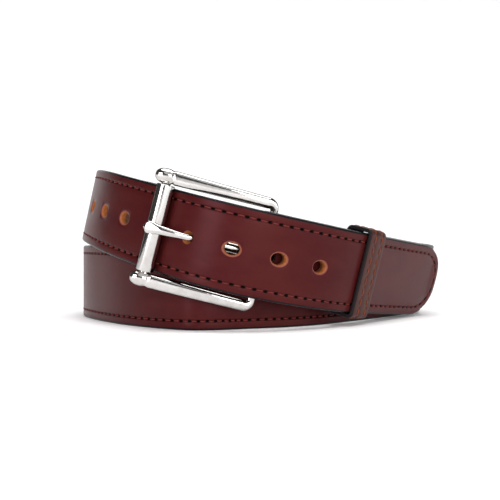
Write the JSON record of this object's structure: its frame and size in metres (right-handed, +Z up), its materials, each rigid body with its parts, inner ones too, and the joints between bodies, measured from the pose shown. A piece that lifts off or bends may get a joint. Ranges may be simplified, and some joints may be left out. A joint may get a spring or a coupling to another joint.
{
  "type": "coiled leather money belt",
  "caption": "Dress belt with roller buckle, keeper and a zipped money pocket inside, buckled and coiled into two turns standing on edge.",
  "frame": {"origin": "the middle of the underside of the coiled belt's box, on the surface that it stands on", "axes": "+Z up across the strap's width, -Y the front of the coil where the buckle is, +X towards the free tail"},
  "size_m": [0.1948, 0.1812, 0.0786],
  "materials": {
    "burgundy_leather": "glazed, dark burgundy, black burnished edges",
    "keeper_leather": "semi-gloss brown burgundy",
    "lining_leather": "dull dark brown",
    "nickel": "polished nickel plate",
    "zip_tape": "woven polyester",
    "zip_coil": "nylon coil"
  },
  "bodies": {
    "belt": {"outer_strap": "burgundy_leather", "lining_strap": "lining_leather", "buckle_frame": "nickel", "fold_post_1": "nickel", "fold_screw_1": "nickel", "fold_post_2": "nickel", "fold_screw_2": "nickel", "zipper_tape_upper": "zip_tape", "zipper_tape_lower": "zip_tape", "zipper_coil_upper": "zip_coil", "zipper_coil_lower": "zip_coil", "zipper_top_stop_upper": "nickel", "zipper_top_stop_lower": "nickel", "zipper_bottom_stop": "nickel"},
    "roller": {"buckle_roller": "nickel"},
    "tongue": {"buckle_tongue": "nickel"},
    "keeper": {"keeper_loop": "keeper_leather"},
    "zip_slider": {"zipper_slider": "nickel"},
    "pull_tab": {"zipper_pull_tab": "nickel"}
  },
  "joints": [
    {"name": "roller_spin", "type": "hinge", "parent": "belt", "child": "roller", "pos_m": [-0.04821, -0.07751, 0.04573], "axis": [0.2538, -0.0643, 0.9651], "continuous": true},
    {"name": "tongue_swing", "type": "hinge", "parent": "belt", "child": "tongue", "pos_m": [-0.00098, -0.07712, 0.03334], "axis": [0.2538, -0.0643, 0.9651], "range_deg": [0, 2]},
    {"name": "keeper_slide", "type": "hinge", "parent": "belt", "child": "keeper", "pos_m": [-0.03124, 0.00688, 0.04682], "axis": [0.2301, -0.0645, 0.971], "range_deg": [-7, 0]},
    {"name": "zip_travel", "type": "hinge", "parent": "belt", "child": "zip_slider", "pos_m": [0.05332, 0.03875, 0.01905], "axis": [0, 0, 1], "range_deg": [-92, 0]},
    {"name": "pull_tab_swing", "type": "hinge", "parent": "zip_slider", "child": "pull_tab", "pos_m": [0.06362, 0.06055, 0.01905], "axis": [0, 0, 1], "range_deg": [-115, 25]}
  ]
}
